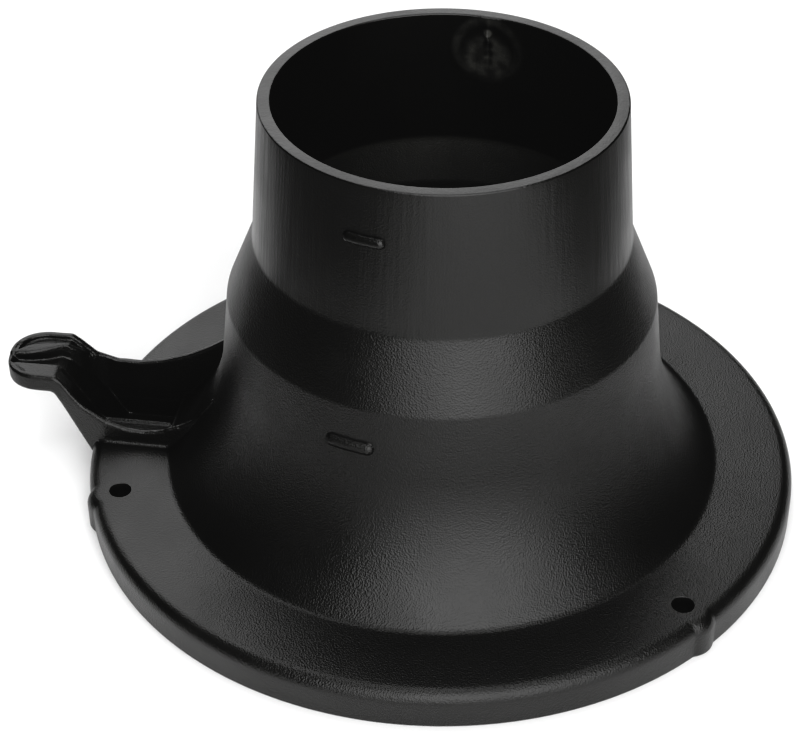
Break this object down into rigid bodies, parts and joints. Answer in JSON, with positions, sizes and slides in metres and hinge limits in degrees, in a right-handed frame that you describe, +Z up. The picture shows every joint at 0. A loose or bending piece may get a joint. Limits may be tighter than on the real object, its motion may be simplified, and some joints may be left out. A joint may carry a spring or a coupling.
{
  "type": "waste disposer hopper",
  "caption": "Black bell-shaped hopper of a kitchen waste disposer: straight neck, flared bell, screw flange and side trough, with a spinning turntable and swivelling lugs inside.",
  "frame": {"origin": "centre of the spindle's lower end face, on the hopper's axis, in the plane that the skirt stands on", "axes": "+Z up along the neck and spindle axis; the side trough points towards -X, 7.5 degrees towards +Y"},
  "size_m": [0.2104, 0.1874, 0.1168],
  "materials": {
    "black_plastic": "semi-matt black moulding",
    "cast_aluminium": "as cast",
    "zinc_screw": "zinc plated",
    "black_rubber": "matt",
    "stainless": "brushed",
    "bronze": "sintered bronze",
    "steel": "machined"
  },
  "bodies": {
    "hopper": {"hopper_shell": "black_plastic", "end_plate": "cast_aluminium", "plate_screw_1": "zinc_screw", "plate_screw_2": "zinc_screw", "plate_screw_3": "zinc_screw", "chamber_o_ring": "black_rubber", "ring_cushion": "black_rubber", "shredder_ring": "stainless", "spindle_bush": "bronze", "thrust_washer": "bronze", "spindle_seal": "black_rubber"},
    "rotor": {"spindle": "steel", "drive_coupling": "steel", "retaining_ring": "steel", "seal_slinger": "black_rubber", "undercutter": "stainless", "turntable": "stainless", "lug_washer_1": "steel", "lug_washer_2": "steel", "lug_rivet_1": "steel", "lug_rivet_2": "steel", "hub_washer": "steel", "hub_nut": "steel"},
    "lug_1": {"swivel_lug_1": "stainless"},
    "lug_2": {"swivel_lug_2": "stainless"}
  },
  "joints": [
    {"name": "rotor_spin", "type": "hinge", "parent": "hopper", "child": "rotor", "pos_m": [0, 0, 0.014], "axis": [0, 0, 1], "continuous": true},
    {"name": "lug_1_swivel", "type": "hinge", "parent": "rotor", "child": "lug_1", "pos_m": [0.027, 0, 0.034], "axis": [0, 0, 1], "continuous": true},
    {"name": "lug_2_swivel", "type": "hinge", "parent": "rotor", "child": "lug_2", "pos_m": [-0.027, 0, 0.034], "axis": [0, 0, 1], "continuous": true}
  ]
}
